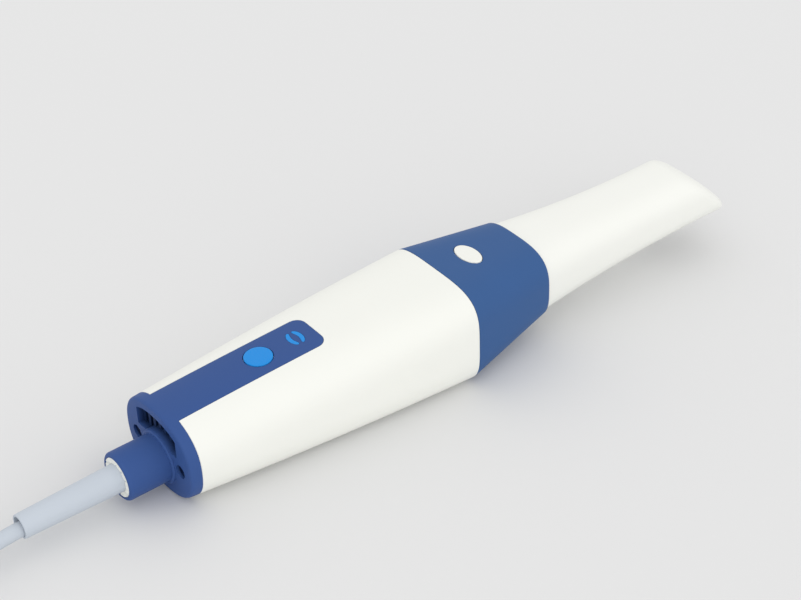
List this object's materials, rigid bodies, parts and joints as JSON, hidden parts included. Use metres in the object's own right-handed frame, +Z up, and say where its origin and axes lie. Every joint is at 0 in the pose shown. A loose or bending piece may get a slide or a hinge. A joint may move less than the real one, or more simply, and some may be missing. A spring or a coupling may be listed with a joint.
{
  "type": "intraoral scanner",
  "caption": "Wired hand-held intraoral scanner: oval white handle with keys, blue end cap and collar, pull-off scan tip with mirror and window, and a cable with a plug",
  "frame": {"origin": "on the floor under the middle of the scanner's own length, cable and plug left out", "axes": "+X along the handle to the tip, +Y to the left of the handle, +Z up through the keys"},
  "size_m": [0.3576, 0.0572, 0.0327],
  "materials": {
    "white_plastic": "satin moulded",
    "tip_plastic": "satin moulded",
    "blue_plastic": "satin moulded",
    "bright_blue_plastic": "satin moulded",
    "grey_rubber": "matte",
    "dark_strap": "matte",
    "screw_steel": "machined",
    "plug_steel": "bright",
    "dark_plastic": "moulded",
    "pale_plastic": "moulded",
    "black_metal": "anodised",
    "seal_rubber": "matte",
    "clear_glass": "polished",
    "board_green": "coated",
    "light_metal": "plain",
    "mirror_glass": "silvered"
  },
  "bodies": {
    "handpiece": {"handle_shell": "white_plastic", "rear_cap": "blue_plastic", "rear_cap_screws": "screw_steel", "gland_ring": "white_plastic", "strain_relief": "grey_rubber", "status_light": "bright_blue_plastic", "front_collar": "blue_plastic", "cable_run": "grey_rubber", "cable_hank": "grey_rubber", "cable_tail": "grey_rubber", "cable_tie": "dark_strap", "plug_body": "grey_rubber", "plug_shell": "plug_steel", "plug_tongue": "dark_plastic", "nose_barrel": "black_metal", "nose_window": "clear_glass", "nose_seal": "seal_rubber", "optics_housing": "black_metal", "optics_screws": "screw_steel", "camera_barrels": "black_metal", "camera_glasses": "clear_glass", "projector_barrel": "black_metal", "projector_glass": "clear_glass", "sensor_board": "board_green", "light_source": "light_metal", "scan_board": "board_green", "scan_switch": "dark_plastic", "key_board": "board_green", "mode_switch": "dark_plastic", "key_board_screws": "screw_steel", "main_board": "board_green", "main_board_screws": "screw_steel", "processor": "dark_plastic", "memory_chips": "dark_plastic", "heat_sink": "light_metal", "ribbon_socket": "pale_plastic", "ribbon_cable": "pale_plastic", "lead_connector": "pale_plastic", "inner_lead": "dark_plastic", "fan_housing": "dark_plastic"},
    "mode_key": {"mode_button": "bright_blue_plastic"},
    "scan_key": {"scan_button": "white_plastic"},
    "tip": {"scan_tip": "tip_plastic", "tip_mirror": "mirror_glass"},
    "blower_rotor": {"fan_rotor": "dark_plastic"}
  },
  "joints": [
    {"name": "mode_press", "type": "slide", "parent": "handpiece", "child": "mode_key", "axis": [0.0466, 0, -0.9989], "range_m": [0, 0.0006], "stiffness_N_per_m": 800, "springref_m": -0.0003},
    {"name": "scan_press", "type": "slide", "parent": "handpiece", "child": "scan_key", "axis": [-0.0266, 0, -0.9996], "range_m": [0, 0.0006], "stiffness_N_per_m": 800, "springref_m": -0.0003},
    {"name": "tip_pull", "type": "slide", "parent": "handpiece", "child": "tip", "axis": [0.9989, 0, 0.0466], "range_m": [0, 0.026]},
    {"name": "rotor_spin", "type": "hinge", "parent": "handpiece", "child": "blower_rotor", "pos_m": [-0.06569, 0, 0.01742], "axis": [-0.0466, 0, 0.9989], "continuous": true}
  ]
}
